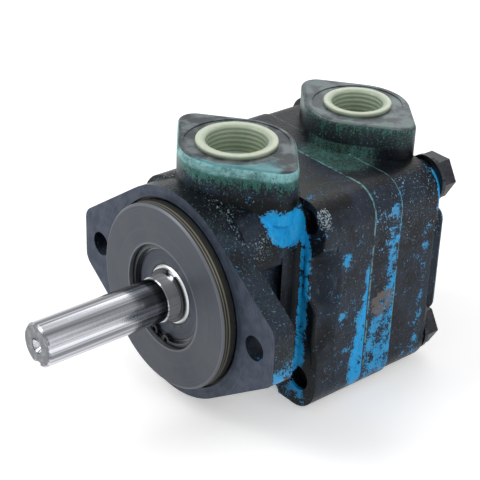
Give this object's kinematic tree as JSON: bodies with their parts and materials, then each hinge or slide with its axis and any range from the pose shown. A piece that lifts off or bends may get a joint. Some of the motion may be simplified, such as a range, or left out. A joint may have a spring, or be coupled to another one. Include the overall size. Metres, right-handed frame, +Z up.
{
  "type": "hydraulic vane pump",
  "caption": "Balanced vane pump with a two-bolt pilot flange, a parallel keyed shaft and two threaded ports on top, plugged by plastic caps.",
  "frame": {"origin": "centre of the mounting face on the shaft axis", "axes": "-Y along the shaft, out of the flange; +Z up, the way the ports open; +X to the right of someone who faces the flange"},
  "size_m": [0.13, 0.1932, 0.1164],
  "materials": {
    "painted_iron": "worn dark paint over cast iron",
    "polished_steel": "ground and polished",
    "bearing_steel": "ground",
    "brass_cage": "machined",
    "shield_grey": "satin",
    "spring_steel": "phosphated",
    "black_rubber": "moulded",
    "bronze_bush": "machined",
    "hardened_steel": "ground",
    "bolt_steel": "black oxide",
    "cap_plastic": "translucent polyethylene"
  },
  "bodies": {
    "housing": {"front_body": "painted_iron", "rear_cover": "painted_iron", "bearing_outer_ring": "bearing_steel", "bearing_shields": "shield_grey", "housing_circlip": "spring_steel", "shaft_seal": "black_rubber", "seal_garter_spring": "spring_steel", "rear_bush": "bronze_bush", "wear_plate": "hardened_steel", "cam_ring": "hardened_steel", "pressure_plate": "hardened_steel", "pressure_plate_ring": "black_rubber", "locating_pins": "hardened_steel", "disc_springs": "spring_steel", "cover_seal_ring": "black_rubber", "bolt_washers": "bolt_steel", "cover_bolts": "bolt_steel"},
    "shaft": {"drive_shaft": "polished_steel", "bearing_inner_ring": "bearing_steel", "shaft_circlip": "spring_steel", "rotor": "hardened_steel"},
    "ball_set": {"bearing_balls": "bearing_steel", "bearing_cage": "brass_cage"},
    "inlet_cap": {"inlet_cap": "cap_plastic"},
    "outlet_cap": {"outlet_cap": "cap_plastic"},
    "vane_01": {"vane_01": "hardened_steel"},
    "vane_02": {"vane_02": "hardened_steel"},
    "vane_03": {"vane_03": "hardened_steel"},
    "vane_04": {"vane_04": "hardened_steel"},
    "vane_05": {"vane_05": "hardened_steel"},
    "vane_06": {"vane_06": "hardened_steel"},
    "vane_07": {"vane_07": "hardened_steel"},
    "vane_08": {"vane_08": "hardened_steel"},
    "vane_09": {"vane_09": "hardened_steel"},
    "vane_10": {"vane_10": "hardened_steel"},
    "vane_11": {"vane_11": "hardened_steel"},
    "vane_12": {"vane_12": "hardened_steel"}
  },
  "joints": [
    {"name": "shaft_spin", "type": "hinge", "parent": "housing", "child": "shaft", "pos_m": [0, 0, 0], "axis": [0, -1, 0], "continuous": true},
    {"name": "ball_set_spin", "type": "hinge", "parent": "housing", "child": "ball_set", "pos_m": [0, 0, 0], "axis": [0, -1, 0], "continuous": true},
    {"name": "vane_01_slide", "type": "slide", "parent": "shaft", "child": "vane_01", "axis": [0.9659, 0, 0.2588], "range_m": [-0.0005, 0.00308]},
    {"name": "vane_02_slide", "type": "slide", "parent": "shaft", "child": "vane_02", "axis": [0.7071, 0, 0.7071], "range_m": [-0.0005, 0.00155]},
    {"name": "vane_03_slide", "type": "slide", "parent": "shaft", "child": "vane_03", "axis": [0.2588, 0, 0.9659], "range_m": [-0.0005, 0.000338]},
    {"name": "vane_04_slide", "type": "slide", "parent": "shaft", "child": "vane_04", "axis": [-0.2588, 0, 0.9659], "range_m": [-0.0005, 0.000338]},
    {"name": "vane_05_slide", "type": "slide", "parent": "shaft", "child": "vane_05", "axis": [-0.7071, 0, 0.7071], "range_m": [-0.0005, 0.00155]},
    {"name": "vane_06_slide", "type": "slide", "parent": "shaft", "child": "vane_06", "axis": [-0.9659, 0, 0.2588], "range_m": [-0.0005, 0.00308]},
    {"name": "vane_07_slide", "type": "slide", "parent": "shaft", "child": "vane_07", "axis": [-0.9659, 0, -0.2588], "range_m": [-0.0005, 0.00308]},
    {"name": "vane_08_slide", "type": "slide", "parent": "shaft", "child": "vane_08", "axis": [-0.7071, 0, -0.7071], "range_m": [-0.0005, 0.00155]},
    {"name": "vane_09_slide", "type": "slide", "parent": "shaft", "child": "vane_09", "axis": [-0.2588, 0, -0.9659], "range_m": [-0.0005, 0.000338]},
    {"name": "vane_10_slide", "type": "slide", "parent": "shaft", "child": "vane_10", "axis": [0.2588, 0, -0.9659], "range_m": [-0.0005, 0.000338]},
    {"name": "vane_11_slide", "type": "slide", "parent": "shaft", "child": "vane_11", "axis": [0.7071, 0, -0.7071], "range_m": [-0.0005, 0.00155]},
    {"name": "vane_12_slide", "type": "slide", "parent": "shaft", "child": "vane_12", "axis": [0.9659, 0, -0.2588], "range_m": [-0.0005, 0.00308]},
    {"name": "inlet_cap_pull", "type": "slide", "parent": "housing", "child": "inlet_cap", "axis": [0, 0, 1], "range_m": [0, 0.03]},
    {"name": "outlet_cap_pull", "type": "slide", "parent": "housing", "child": "outlet_cap", "axis": [0, 0, 1], "range_m": [0, 0.03]}
  ],
  "couplings": [
    {"joint": "ball_set_spin", "follows": "shaft_spin", "ratio": 0.38149}
  ]
}
